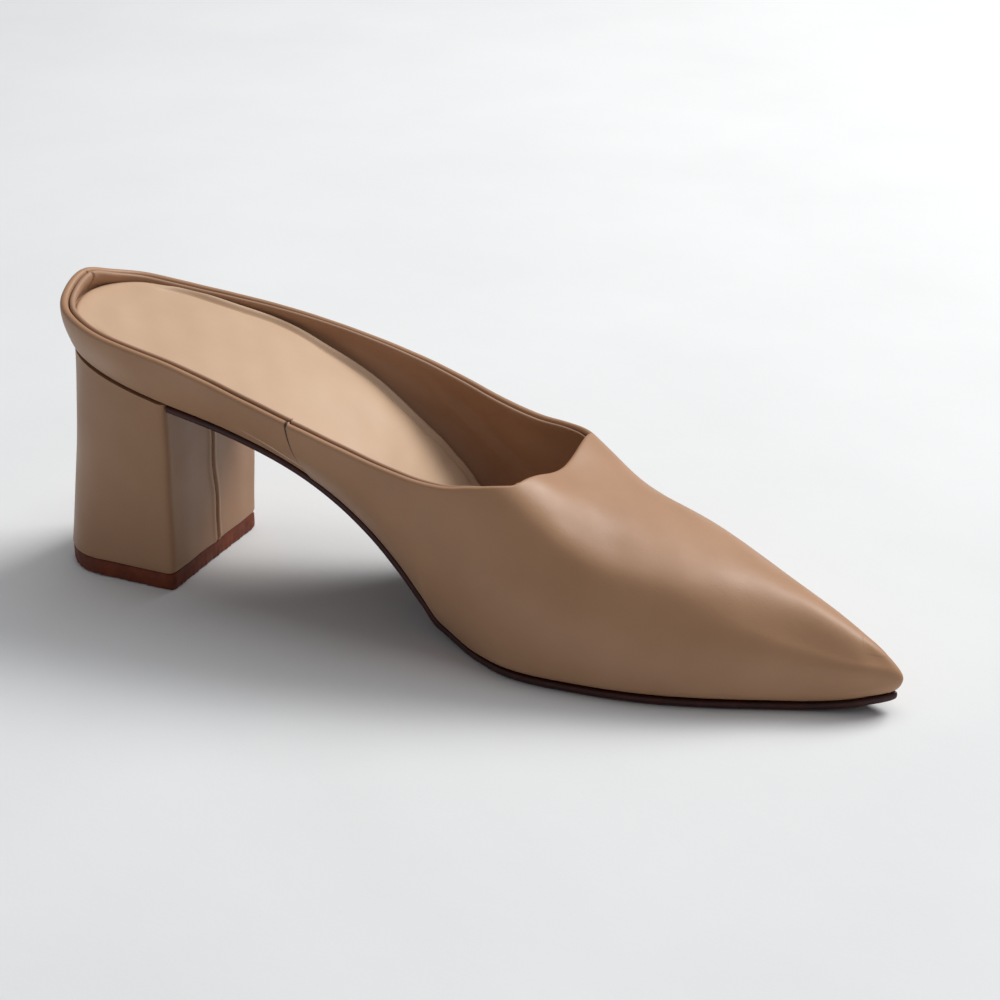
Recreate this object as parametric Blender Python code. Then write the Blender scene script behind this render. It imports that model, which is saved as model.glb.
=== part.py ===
"""Block heel mule: a left shoe with a pointed closed toe, a low band round the
heel, a padded insole, a thin outsole and a leather-covered block heel.

Metres, +Z up, toe towards +X, the wearer's outer (lateral) side towards +Y.
The shape is first worked out with x = 0 at the back of the heel, and the whole
shoe is then moved so that the middle of its box stands over the origin.
"""

import math

import bmesh
import bpy
import numpy as np

# Sizes that a shoemaker would set
LENGTH = 0.250
BALL_WIDTH = 0.072
HEEL_HEIGHT = 0.065
SEAT_DROP = 0.0104
INSTEP_HEIGHT = 0.0495
TOE_SPRING = 0.004
BREAST_PLACE = 0.0425
BALL_SKEW = 0.12

UPPER_WALL = 0.0024
LASTING_MARGIN = 0.009
FEATHER_RADIUS = 0.0032

SOLE_THICKNESS = 0.0022
SOLE_INSET = 0.0013
SOLE_EDGE_ROUND = 0.0005
SOLE_EDGE_LOW = 0.30
SOLE_EDGE_HIGH = 0.25

INSOLE_HEEL_THICKNESS = 0.0074
INSOLE_BALL_THICKNESS = 0.0036
INSOLE_TOE_THICKNESS = 0.0014
INSOLE_EDGE_ROUND = 0.0008
PAD_THINS_FROM = 0.10
PAD_THINS_OVER = 0.45
PAD_TOE_FROM = 0.72
PAD_TOE_OVER = 0.20

HEEL_INSET = 0.0022
HEEL_TOP_SHIFT = -0.0018
HEEL_BASE_LENGTH = 0.0436
HEEL_BASE_WIDTH = 0.0495
HEEL_BASE_SHIFT = -0.0008
HEEL_EDGE_RADIUS = 0.003
HEEL_BREAST_SLANT = 0.0008
HEEL_BACK_DEPTH = 0.46
HEEL_BACK_WIDTH = 0.955
HEEL_BACK_SQUARENESS = 0.86
HEEL_FLARE = 1.5
LIFT_THICKNESS = 0.005
LIFT_INSET = 0.0004
LIFT_BEVEL = 0.1

GAP = 0.0003
MERGE_DISTANCE = 0.00002
SEAT_GAP = 0.0005
BOARD_GAP = 0.0012

# Underside of the leather, from the heel breast to the ball.
# along: share of LENGTH; up: share of the height at the breast.
# Columns: along, up.
ARCH = (
    (0.170, 1.000),
    (0.220, 0.940),
    (0.272, 0.853),
    (0.320, 0.749),
    (0.366, 0.615),
    (0.404, 0.471),
    (0.436, 0.320),
    (0.464, 0.172),
    (0.488, 0.059),
    (0.536, 0.000),
)
TOE_SPRING_START = 0.885
SKEW_FADE_IN = 0.2
SKEW_END = 0.75
SKEW_FADE_OUT = 0.1

# One row for each section of the upper, from the back of the heel to the toe.
# foot: feather line, where wall and sole meet. edge: topline at the open part,
# shoulder of the vamp further on. along: share of LENGTH; out: share of
# BALL_WIDTH; up: share of INSTEP_HEIGHT above the foot; lean: degrees from
# upright, inwards positive.
# Columns: foot along, foot out, edge along, edge out, edge up, foot lean, edge lean.
LATERAL = (
    (0.002, 0.014, 0.005, 0.014, 0.317, -12, 12),
    (0.012, 0.170, 0.013, 0.160, 0.272, -12, 12),
    (0.040, 0.290, 0.038, 0.285, 0.246, -12, 12),
    (0.080, 0.355, 0.080, 0.347, 0.243, -14, 10),
    (0.168, 0.415, 0.168, 0.425, 0.258, -18, 8),
    (0.260, 0.407, 0.260, 0.454, 0.323, -26, 2),
    (0.352, 0.400, 0.352, 0.469, 0.479, -32, 3),
    (0.432, 0.410, 0.432, 0.453, 0.750, -30, 10),
    (0.508, 0.466, 0.508, 0.417, 0.930, -15, 18),
    (0.598, 0.467, 0.598, 0.392, 0.800, -10, 28),
    (0.660, 0.442, 0.660, 0.350, 0.607, -5, 36),
    (0.732, 0.364, 0.732, 0.272, 0.518, 0, 40),
    (0.800, 0.257, 0.800, 0.192, 0.425, 0, 42),
    (0.860, 0.125, 0.860, 0.090, 0.350, 0, 42),
    (0.912, 0.000, 0.912, -0.018, 0.290, 0, 42),
    (0.958, -0.122, 0.957, -0.124, 0.222, -2, 42),
    (0.984, -0.178, 0.979, -0.175, 0.168, -4, 42),
    (0.9992, -0.213, 0.992, -0.213, 0.125, -6, 42),
)
MEDIAL = (
    LATERAL[0],
    (0.014, -0.140, 0.012, -0.150, 0.289, -14, 10),
    (0.040, -0.250, 0.034, -0.282, 0.279, -20, 6),
    (0.080, -0.325, 0.080, -0.392, 0.295, -26, 2),
    (0.168, -0.367, 0.168, -0.450, 0.331, -34, -4),
    (0.260, -0.347, 0.260, -0.483, 0.350, -42, -14),
    (0.352, -0.330, 0.352, -0.517, 0.438, -44, -12),
    (0.432, -0.330, 0.432, -0.529, 0.653, -38, -5),
    (0.508, -0.380, 0.508, -0.519, 0.955, -32, 5),
    (0.592, -0.531, 0.592, -0.479, 0.922, -12, 24),
    (0.660, -0.554, 0.660, -0.486, 0.697, -8, 30),
    (0.732, -0.539, 0.732, -0.472, 0.556, -5, 35),
    (0.800, -0.489, 0.800, -0.427, 0.500, -3, 38),
    (0.860, -0.421, 0.860, -0.380, 0.395, 0, 40),
    (0.912, -0.358, 0.912, -0.333, 0.298, 0, 40),
    (0.958, -0.306, 0.957, -0.297, 0.218, -2, 42),
    (0.984, -0.262, 0.979, -0.254, 0.168, -4, 42),
    LATERAL[-1],
)

# Top line of the vamp, from the last open section to the toe.
# along: share of LENGTH; side: share of BALL_WIDTH; up: share of INSTEP_HEIGHT.
# Columns: section, along, side, up.
RIDGE = (
    (8, 0.536, -0.030, 1.080),
    (9, 0.610, -0.050, 0.990),
    (10, 0.664, -0.085, 0.888),
    (11, 0.734, -0.125, 0.786),
    (12, 0.802, -0.165, 0.690),
    (13, 0.862, -0.195, 0.590),
    (14, 0.913, -0.210, 0.502),
    (15, 0.955, -0.213, 0.398),
)

SECTIONS = len(LATERAL) - 1
THROAT = 9
LAST_RIDGE = 15
BREAST_SECTION = 4
BREAST_SPACE = 0.3
SECTION_LENGTH = 0.09
FIRST_SPINE = 3
TOE_FAN_START = 13.5
DEEPEST_INSET = 0.62
WALL_GRIP = 0.36
THROAT_CORNER = 0.30
CORNER_START = 8.15

SIDES = {"lateral": 1, "medial": -1}
LEATHER = ((0.50, 0.33, 0.23), 0.45, 0.0)
SOCK = ((0.72, 0.52, 0.41), 0.50, 0.0)
SOLE_RUBBER = ((0.13, 0.02, 0.012), 0.45, 0.0)
LIFT_RUBBER = ((0.25, 0.055, 0.012), 0.60, 0.0)


def clear_scene():
    for obj in list(bpy.data.objects):
        bpy.data.objects.remove(obj, do_unlink=True)


def steady_curve(xs, ys, x, first_slope=None):
    """Cubic through the rows that never rises or falls beyond them."""
    xs = np.asarray(xs, float)
    ys = np.asarray(ys, float)
    step = np.diff(xs)
    grade = np.diff(ys) / step
    slope = np.zeros(len(xs))
    for i in range(1, len(xs) - 1):
        if grade[i - 1] * grade[i] > 0:
            slope[i] = 2 / (1 / grade[i - 1] + 1 / grade[i])
    slope[0] = grade[0] if first_slope is None else first_slope
    i = int(np.clip(np.searchsorted(xs, x) - 1, 0, len(xs) - 2))
    t = (x - xs[i]) / step[i]
    rise = ys[i + 1] - ys[i]
    start = slope[i] * step[i]
    end = slope[i + 1] * step[i]
    return ys[i] + start * t + (3 * rise - 2 * start - end) * t * t + (start + end - 2 * rise) * t ** 3


class SmoothRows:
    """Cubic spline through table rows, closed into a loop or with free ends."""

    def __init__(self, knots, rows, closed):
        self.knots = np.asarray(knots, float)
        self.rows = np.asarray(rows, float)
        self.closed = closed
        count = len(self.rows)
        step = np.diff(self.knots)
        matrix = np.zeros((count, count))
        right = np.zeros(self.rows.shape)
        for i in range(count):
            if not closed and i in (0, count - 1):
                matrix[i, i] = 1.0
                continue
            before = step[i - 1]
            after = step[i]
            here = self.rows[i]
            last = self.rows[i - 1]
            following = self.rows[(i + 1) % count]
            matrix[i, i - 1] += before
            matrix[i, i] += 2 * (before + after)
            matrix[i, (i + 1) % count] += after
            right[i] = 6 * ((following - here) / after - (here - last) / before)
        self.bend = np.linalg.solve(matrix, right)

    def at(self, knot):
        i = int(np.clip(np.searchsorted(self.knots, knot) - 1, 0, len(self.knots) - 2))
        j = (i + 1) % len(self.rows)
        step = self.knots[i + 1] - self.knots[i]
        b = (knot - self.knots[i]) / step
        a = 1 - b
        curve = (a ** 3 - a) * self.bend[i] + (b ** 3 - b) * self.bend[j]
        return a * self.rows[i] + b * self.rows[j] + curve * step * step / 6


def arch_height(x):
    """Height of the leather's underside above its height at the ball."""
    breast_height = HEEL_HEIGHT - SEAT_DROP
    if x <= BREAST_PLACE:
        return HEEL_HEIGHT - SEAT_DROP * x / BREAST_PLACE
    alongs = [row[0] * LENGTH for row in ARCH]
    alongs[0] = BREAST_PLACE
    ups = [row[1] * breast_height for row in ARCH]
    if x < alongs[-1]:
        return steady_curve(alongs, ups, x, first_slope=-SEAT_DROP / BREAST_PLACE)
    start = TOE_SPRING_START * LENGTH
    spring = max(0.0, (x - start) / (LENGTH - start))
    return TOE_SPRING * spring ** 2


def bed(x, y):
    """Underside of the leather. The ball line runs askew, so the arch ends
    earlier on the lateral side."""
    fade = np.clip((x - BREAST_PLACE) / (SKEW_FADE_IN * LENGTH), 0.0, 1.0)
    fade = fade * fade * (3 - 2 * fade)
    toe_fade = np.clip((SKEW_END * LENGTH - x) / (SKEW_FADE_OUT * LENGTH), 0.0, 1.0)
    skewed = x + BALL_SKEW * fade * toe_fade * y
    return SOLE_THICKNESS + GAP + arch_height(skewed)


def scaled_sections(table):
    """Section rows in metres and radians, with the edge's height off the floor."""
    share = (LENGTH, BALL_WIDTH, LENGTH, BALL_WIDTH, INSTEP_HEIGHT, math.pi / 180, math.pi / 180)
    rows = [np.array(row) * share for row in table]
    for row in rows:
        row[4] += bed(row[0], row[1])
    return rows


def section_loop():
    """All sections in one loop: heel back, lateral side, toe, medial side."""
    lateral = scaled_sections(LATERAL)
    medial = scaled_sections(MEDIAL)
    rows = lateral + medial[-2:0:-1]
    corners = rows + rows[:1]
    walk = [float(np.hypot(*(b[:2] - a[:2]))) for a, b in zip(corners, corners[1:])]
    knots = np.concatenate([[0.0], np.cumsum(walk)])
    return SmoothRows(knots, rows, closed=True)


LOOP = section_loop()
RIDGE_LINE = SmoothRows(
    [row[0] for row in RIDGE],
    [(row[1] * LENGTH, row[2] * BALL_WIDTH, row[3] * INSTEP_HEIGHT) for row in RIDGE],
    closed=False,
)


def knot_of(side, section):
    """Place on the loop of a section counted from the heel back, on one side."""
    place = section if side > 0 else 2 * SECTIONS - section
    return float(np.interp(place, range(2 * SECTIONS + 1), LOOP.knots))


def section_values(side, section):
    return LOOP.at(knot_of(side, section))


def foot_line(side, section):
    values = section_values(side, section)
    return np.array([values[0], values[1], 0.0])


def spine_point(section):
    """Middle line of the flat pieces; the heel and toe sections share an end."""
    section = min(max(section, FIRST_SPINE), LAST_RIDGE)
    return (foot_line(1, section) + foot_line(-1, section)) / 2


def outward(side, section):
    """Plan direction out of the shoe: square to the feather line, and towards
    the toe away from the end of the spine."""
    reach = 0.0004
    knot = knot_of(side, section)
    whole = LOOP.knots[-1]
    tangent = LOOP.at((knot + reach) % whole)[:2] - LOOP.at((knot - reach) % whole)[:2]
    square = np.array([-tangent[1], tangent[0], 0.0]) / np.hypot(*tangent)
    from_spine = foot_line(side, section) - spine_point(section)
    turn = np.clip((section - TOE_FAN_START) / (LAST_RIDGE - TOE_FAN_START), 0.0, 1.0)
    direction = from_spine / np.linalg.norm(from_spine) * turn + square * (1 - turn)
    return direction / np.linalg.norm(direction)


def foot_point(side, section, inset, gap=0.0):
    """Plan point of the feather line, moved inwards: by the inset, or by a
    share of the way to the spine where the shoe is too narrow for it."""
    foot = foot_line(side, section)
    room = DEEPEST_INSET * np.linalg.norm(spine_point(section) - foot)
    return foot - outward(side, section) * (min(inset, room) + gap)


def above_bed(x, y, distance):
    """Height of a layer that lies a distance off the bed, square to it."""
    reach = 0.0005
    grade_x = (bed(x + reach, y) - bed(x - reach, y)) / (2 * reach)
    grade_y = (bed(x, y + reach) - bed(x, y - reach)) / (2 * reach)
    return bed(x, y) + distance * math.sqrt(1 + grade_x ** 2 + grade_y ** 2)


def bezier(a, b, c, d, t):
    s = 1 - t
    return s ** 3 * a + 3 * s * s * t * b + 3 * s * t * t * c + t ** 3 * d


def leaning(direction, angle):
    """Upward direction that leans inwards by the angle."""
    return np.array([0.0, 0.0, math.cos(angle)]) - direction * math.sin(angle)


def ridge_point(section):
    return RIDGE_LINE.at(min(section, LAST_RIDGE))


def ridge_direction(side, section):
    """Direction in which the vamp leaves its top line."""
    turn = np.clip((section - LAST_RIDGE) / (SECTIONS - LAST_RIDGE), 0.0, 1.0) * math.pi / 2
    step = ridge_point(LAST_RIDGE) - ridge_point(LAST_RIDGE - 0.1)
    fall = step[2] / step[0]
    return np.array([math.sin(turn), side * math.cos(turn), fall * math.sin(turn)])


def wall_point(side, section, v):
    """Outer face of the upper: v from -1 at the edge under the insole to 0 at
    the foot of the wall, 1 at the topline or shoulder and 2 on the top line."""
    foot_x, foot_y, edge_x, edge_y, edge_z, foot_lean, edge_lean = section_values(side, section)
    out = outward(side, section)
    floor = bed(foot_x, foot_y)
    turn = math.pi / 2 + foot_lean
    foot = np.array([foot_x, foot_y, floor + FEATHER_RADIUS * (1 - math.cos(turn))])
    rise = leaning(out, foot_lean)
    if v <= 0:
        corner = foot_point(side, section, FEATHER_RADIUS * math.sin(turn))
        if v <= -0.5:
            inner = foot_point(side, section, LASTING_MARGIN)
            flat = inner + (corner - inner) * 2 * (v + 1)
            return np.array([flat[0], flat[1], bed(flat[0], flat[1])])
        corner[2] = bed(corner[0], corner[1])
        grip = 4 / 3 * math.tan(turn / 4) * FEATHER_RADIUS
        level = np.array([foot[0] - corner[0], foot[1] - corner[1], 0.0])
        level = level / np.linalg.norm(level)
        return bezier(corner, corner + level * grip, foot - rise * grip, foot, 2 * v + 1)
    edge = np.array([edge_x, edge_y, edge_z])
    lean = leaning(out, edge_lean)
    if v <= 1:
        grip = WALL_GRIP * np.linalg.norm(edge - foot)
        return bezier(foot, foot + rise * grip, edge - lean * grip, edge, v)
    ridge = ridge_point(section)
    grip = WALL_GRIP * np.linalg.norm(ridge - edge)
    return bezier(edge, edge + lean * grip, ridge + ridge_direction(side, section) * grip, ridge, v - 1)


def wall_point_past(side, section, v):
    """The same, for a section that may lie past the heel back or the toe."""
    if section > SECTIONS:
        return wall_point(-side, 2 * SECTIONS - section, v)
    if section < 0:
        return wall_point(-side, -section, v)
    return wall_point(side, section, v)


def inward(side, section, v):
    """Direction square to the upper's outer face, into the shoe."""
    reach = 0.01
    if v > 2 - reach:
        here = min(section, LAST_RIDGE - reach)
        forward = ridge_point(here + reach) - ridge_point(here - reach)
        normal = -np.cross(forward, [0.0, 1.0, 0.0])
    else:
        forward = wall_point_past(side, section + reach, v) - wall_point_past(side, section - reach, v)
        low = max(v - reach, -1.0)
        up = wall_point(side, section, v + reach) - wall_point(side, section, low)
        normal = np.cross(forward, up) * side
    return normal / np.linalg.norm(normal)


def topline(section):
    """How far up the wall goes: to the edge, and round the throat's corner."""
    turn = np.clip((section - CORNER_START) / (THROAT - CORNER_START), 0.0, 1.0)
    return 1 + THROAT_CORNER * (1 - math.sqrt(1 - turn * turn))


def spaced(start, end, per_section):
    count = round((end - start) * per_section)
    return [start + (end - start) * i / count for i in range(count + 1)]


def all_sections():
    """Where the upper, insole and outsole have their points: closer together
    where the arch meets the ball, at the throat's corner and at the toe."""
    back = spaced(0, BREAST_SECTION, 2) + spaced(BREAST_SECTION, 6, 3)[1:] + spaced(6, 8, 6)[1:]
    front = spaced(THROAT, 14, 2)[1:] + spaced(14, SECTIONS, 4)[1:]
    return back + [CORNER_START] + corner_sections(5) + front


def corner_sections(count):
    """Sections that crowd towards the throat, where the topline turns."""
    return [CORNER_START + (THROAT - CORNER_START) * math.sin(math.pi / 2 * i / count) for i in range(1, count + 1)]


class Body:
    """Collects a solid's points and faces."""

    def __init__(self):
        self.mesh = bmesh.new()

    def points(self, places):
        return [self.mesh.verts.new(tuple(place)) for place in places]

    def strip(self, first, second, flip=False):
        for i in range(len(first) - 1):
            corners = [first[i], first[i + 1], second[i + 1], second[i]]
            self.mesh.faces.new(corners[::-1] if flip else corners)

    def finish(self, name, material, sharp_angle=40):
        bmesh.ops.remove_doubles(self.mesh, verts=self.mesh.verts, dist=MERGE_DISTANCE)
        bmesh.ops.dissolve_degenerate(self.mesh, edges=self.mesh.edges, dist=MERGE_DISTANCE)
        bmesh.ops.recalc_face_normals(self.mesh, faces=self.mesh.faces)
        if self.mesh.calc_volume(signed=True) < 0:
            bmesh.ops.reverse_faces(self.mesh, faces=self.mesh.faces)
        data = bpy.data.meshes.new(name)
        self.mesh.to_mesh(data)
        self.mesh.free()
        data.shade_smooth()
        data.set_sharp_from_angle(angle=math.radians(sharp_angle))
        obj = bpy.data.objects.new(name, data)
        bpy.data.collections["block_heel_mule"].objects.link(obj)
        data.materials.append(make_material(name, *material))
        return obj


def make_material(name, colour, roughness, metallic):
    material = bpy.data.materials.new(name + "_material")
    material.use_nodes = True
    shader = material.node_tree.nodes["Principled BSDF"]
    shader.inputs["Base Color"].default_value = (*colour, 1.0)
    shader.inputs["Roughness"].default_value = roughness
    shader.inputs["Metallic"].default_value = metallic
    return material


def build_upper():
    """Leather wall: outer and inner faces through all sections, joined round
    the margin under the insole, along the topline and across the throat."""
    low_rows = 9
    high_rows = 6
    body = Body()
    turned = [-1.0, -0.5, -0.25, 0.0]
    for side in SIDES.values():
        lower_part = []
        upper_part = []
        for section in all_sections():
            top = topline(section)
            lower_part.append((section, turned + [top * i / low_rows for i in range(1, low_rows + 1)]))
            if section >= THROAT:
                upper_part.append((section, [top + (2 - top) * i / high_rows for i in range(high_rows + 1)]))
        for part in (lower_part, upper_part):
            outer = []
            inner = []
            for section, rise in part:
                outer.append([wall_point(side, section, v) for v in rise])
                inner.append([wall_point(side, section, v) + inward(side, section, v) * UPPER_WALL for v in rise])
            outer = [body.points(column) for column in outer]
            inner = [body.points(column) for column in inner]
            for first, second in zip(outer, outer[1:]):
                body.strip(first, second, flip=side < 0)
            for first, second in zip(inner, inner[1:]):
                body.strip(first, second, flip=side > 0)
            if part is lower_part:
                body.strip([column[0] for column in outer], [column[0] for column in inner])
                open_count = sum(section <= THROAT for section, rise in part)
                body.strip([column[-1] for column in outer[:open_count]], [column[-1] for column in inner[:open_count]])
            if part is upper_part:
                body.strip(outer[0], inner[0])
    return body.finish("upper", LEATHER)


def inside_wall(side, section, height):
    """Plan point where the wall's inner face is a height above the bed."""
    places = []
    heights = []
    for v in np.linspace(-0.3, 1.3, 33):
        inner = wall_point(side, section, v) + inward(side, section, v) * UPPER_WALL
        places.append(inner)
        heights.append(inner[2] - bed(inner[0], inner[1]))
    places = np.array(places)
    return np.array([np.interp(height, heights, places[:, 0]), np.interp(height, heights, places[:, 1]), 0.0])


def cap(body, rings, sections, height, across, flip):
    """Closes a plate's top or bottom with rows from its rim to its middle."""
    for side, ring in rings.items():
        rows = []
        for section, rim in zip(sections, ring):
            rows.append([])
            for i in range(across + 1):
                t = i / across
                place = rim + (spine_point(section) - rim) * t
                rows[-1].append((place[0], place[1], rim[2] if i == 0 else height(place[0], place[1])))
        verts = [body.points(row) for row in rows]
        for first, second in zip(verts, verts[1:]):
            body.strip(first, second, flip=(side > 0) == flip)


def sides(body, ring_stack, flip):
    """Walls between rings that lie above each other."""
    for lower, upper in zip(ring_stack, ring_stack[1:]):
        body.strip(body.points(lower), body.points(upper), flip=flip)


def build_insole():
    """Padded insole: a board that fills the hole in the lasted margin, and
    above it a pad that reaches the wall all round."""
    sections = all_sections()

    def pad_thickness(x):
        share = np.clip((x - PAD_THINS_FROM * LENGTH) / (PAD_THINS_OVER * LENGTH), 0.0, 1.0)
        share = share * share * (3 - 2 * share)
        thickness = INSOLE_HEEL_THICKNESS + (INSOLE_BALL_THICKNESS - INSOLE_HEEL_THICKNESS) * share
        toe_share = np.clip((x - PAD_TOE_FROM * LENGTH) / (PAD_TOE_OVER * LENGTH), 0.0, 1.0)
        return thickness + (INSOLE_TOE_THICKNESS - thickness) * toe_share

    def board_underside(x, y):
        return above_bed(x, y, GAP)

    def pad_underside(x, y):
        return above_bed(x, y, UPPER_WALL + SEAT_GAP)

    def pad_top(x, y):
        return above_bed(x, y, UPPER_WALL + SEAT_GAP + pad_thickness(x))

    body = Body()
    bottoms = {}
    tops = {}
    for side in SIDES.values():
        stack = [[], [], [], [], [], []]
        for section in sections:
            out = outward(side, section)
            board = foot_point(side, section, LASTING_MARGIN, BOARD_GAP)
            low = inside_wall(side, section, pad_underside(*board[:2]) - bed(*board[:2]) + GAP)
            low = low - out * SEAT_GAP
            pad_height = pad_top(*low[:2]) - bed(*low[:2])
            high = inside_wall(side, section, pad_height) - out * SEAT_GAP
            middle = inside_wall(side, section, pad_height - INSOLE_EDGE_ROUND) - out * SEAT_GAP
            stack[0].append((board[0], board[1], board_underside(*board[:2])))
            stack[1].append((board[0], board[1], pad_underside(*board[:2])))
            stack[2].append((low[0], low[1], pad_underside(*low[:2])))
            stack[3].append((middle[0], middle[1], pad_top(*middle[:2]) - INSOLE_EDGE_ROUND))
            rounded = high - out * 0.3 * INSOLE_EDGE_ROUND
            stack[4].append((rounded[0], rounded[1], pad_top(*rounded[:2]) - 0.3 * INSOLE_EDGE_ROUND))
            rounded = high - out * INSOLE_EDGE_ROUND
            stack[5].append((rounded[0], rounded[1], pad_top(*rounded[:2])))
        sides(body, stack, flip=side < 0)
        bottoms[side] = np.array(stack[0])
        tops[side] = np.array(stack[-1])
    cap(body, bottoms, sections, board_underside, 2, flip=True)
    cap(body, tops, sections, pad_top, 4, flip=False)
    return body.finish("insole", SOCK)


def build_outsole():
    """Thin sole from the toe to the breast of the heel."""
    breast_x = BREAST_PLACE + GAP
    start = BREAST_SECTION
    for _ in range(30):
        start += (breast_x - foot_point(1, start, SOLE_INSET)[0]) / (SECTION_LENGTH * LENGTH)
    sections = [start] + [section for section in all_sections() if section > BREAST_SECTION + BREAST_SPACE]

    def top(x, y):
        return above_bed(x, y, -GAP)

    def underside(x, y):
        return max(0.0, above_bed(x, y, -GAP - SOLE_THICKNESS))

    body = Body()
    bottoms = {}
    tops = {}
    ends = {}
    for side in SIDES.values():
        stack = [[], [], [], []]
        for index, section in enumerate(sections):
            rim = foot_point(side, section, SOLE_INSET)
            low = foot_point(side, section, SOLE_INSET + SOLE_EDGE_ROUND)
            if index == 0:
                rim[0] = breast_x
                low[0] = breast_x
            thickness = top(*rim[:2]) - underside(*rim[:2])
            stack[0].append((low[0], low[1], underside(*low[:2])))
            stack[1].append((rim[0], rim[1], underside(*rim[:2]) + SOLE_EDGE_LOW * thickness))
            stack[2].append((rim[0], rim[1], top(*rim[:2]) - SOLE_EDGE_HIGH * thickness))
            stack[3].append((low[0], low[1], top(*low[:2])))
        sides(body, stack, flip=side < 0)
        bottoms[side] = np.array(stack[0])
        tops[side] = np.array(stack[-1])
        ends[side] = [np.array(ring[0]) for ring in stack]

    def rows_to_middle(rings, height, flip):
        across = 4
        for side, ring in rings.items():
            rows = []
            for index, (section, rim) in enumerate(zip(sections, ring)):
                middle = spine_point(section)
                if index == 0:
                    middle[0] = breast_x
                row = []
                for i in range(across + 1):
                    place = rim + (middle - rim) * i / across
                    row.append((place[0], place[1], rim[2] if i == 0 else height(place[0], place[1])))
                rows.append(body.points(row))
            for first, second in zip(rows, rows[1:]):
                body.strip(first, second, flip=(side > 0) == flip)
            yield side, rows[0]

    low_end = dict(rows_to_middle(bottoms, underside, flip=True))
    high_end = dict(rows_to_middle(tops, top, flip=False))
    for side in SIDES.values():
        rim = body.points(ends[side][1:3])
        chain = low_end[side][::-1] + rim + high_end[side]
        body.mesh.faces.new(chain if side > 0 else chain[::-1])
    return body.finish("outsole", SOLE_RUBBER)


def rounded_breast(points, radius, steps=4):
    """Rounds the two front corners of a heel outline. The outline runs from
    one front corner round the back to the other."""
    result = []
    for corner, neighbour in ((points[0], points[1]), (points[-1], points[-2])):
        along_side = (neighbour - corner) / np.linalg.norm(neighbour - corner)
        across = np.array([0.0, -math.copysign(1.0, corner[1])])
        arc = []
        for i in range(steps + 1):
            t = i / steps
            start = corner + across * radius
            end = corner + along_side * radius
            arc.append((1 - t) ** 2 * start + 2 * t * (1 - t) * corner + t * t * end)
        result.append(arc)
    return result[0] + list(points[1:-1]) + result[1][::-1]


def heel_top_outline():
    """Outline of the heel under the seat, from the lateral to the medial
    front corner, round the back."""
    sections = spaced(0, 3.5, 3)
    sides_of = {}
    for side in SIDES.values():
        line = [foot_point(side, section, HEEL_INSET)[:2] + [0.0, HEEL_TOP_SHIFT] for section in sections]
        front = foot_point(side, BREAST_SECTION, HEEL_INSET)[:2] + [0.0, HEEL_TOP_SHIFT]
        front[0] = BREAST_PLACE
        sides_of[side] = line + [front]
    return sides_of[1][::-1] + sides_of[-1][1:]


def heel_base_outline(count):
    """Outline of the heel on the floor: straight sides and a round back."""
    back = BREAST_PLACE - HEEL_BASE_LENGTH
    half = HEEL_BASE_WIDTH / 2
    round_depth = HEEL_BACK_DEPTH * HEEL_BASE_LENGTH
    middle_x = back + round_depth
    points = []
    for i in range(count):
        t = math.pi * i / (count - 1)
        x = middle_x - round_depth * math.sin(t) ** HEEL_BACK_SQUARENESS
        y = HEEL_BASE_SHIFT + HEEL_BACK_WIDTH * half * math.copysign(abs(math.cos(t)) ** HEEL_BACK_SQUARENESS, math.cos(t))
        points.append(np.array([x, y]))
    front = [np.array([BREAST_PLACE - HEEL_BREAST_SLANT, HEEL_BASE_SHIFT + side * half]) for side in (1, -1)]
    return [front[0]] + points + [front[1]]


def even_spacing(points, count):
    """The same open line with evenly spaced points."""
    points = np.array(points)
    walk = np.concatenate([[0.0], np.cumsum(np.hypot(*np.diff(points, axis=0).T))])
    places = np.linspace(0, walk[-1], count)
    return [np.array([np.interp(s, walk, points[:, 0]), np.interp(s, walk, points[:, 1])]) for s in places]


def build_heel():
    """Leather-covered block: lofted from its base to the seat."""
    count = 25
    top = rounded_breast(even_spacing(heel_top_outline(), count), HEEL_EDGE_RADIUS)
    base = rounded_breast(even_spacing(heel_base_outline(41), count), HEEL_EDGE_RADIUS)
    base_z = LIFT_THICKNESS + GAP
    body = Body()
    levels = 6
    rings = []
    for level in range(levels + 1):
        share = level / levels
        ring = []
        for low, high in zip(base, top):
            high_z = above_bed(high[0], high[1], -GAP)
            plan = low + (high - low) * (1 - (1 - share) ** HEEL_FLARE)
            ring.append((plan[0], plan[1], base_z + (high_z - base_z) * share))
        rings.append(body.points(ring + ring[:1]))
    for first, second in zip(rings, rings[1:]):
        body.strip(first, second)
    body.mesh.faces.new(rings[0][:-1][::-1])
    body.mesh.faces.new(rings[-1][:-1])
    return body.finish("heel", LEATHER)


def build_top_lift():
    """Rubber lift under the heel, a little smaller than the heel's base."""
    base = rounded_breast(even_spacing(heel_base_outline(41), 25), HEEL_EDGE_RADIUS)
    middle = np.mean(base, axis=0)
    body = Body()
    rings = []
    chamfer = LIFT_BEVEL * LIFT_THICKNESS
    for z, inset in ((0.0, LIFT_INSET + chamfer), (chamfer, LIFT_INSET), (LIFT_THICKNESS, LIFT_INSET)):
        ring = []
        for place in base:
            inwards = middle - place
            place = place + inwards / np.linalg.norm(inwards) * inset
            ring.append((place[0], place[1], z))
        rings.append(body.points(ring + ring[:1]))
    for first, second in zip(rings, rings[1:]):
        body.strip(first, second)
    body.mesh.faces.new(rings[0][:-1][::-1])
    body.mesh.faces.new(rings[-1][:-1])
    return body.finish("top_lift", LIFT_RUBBER)


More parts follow.
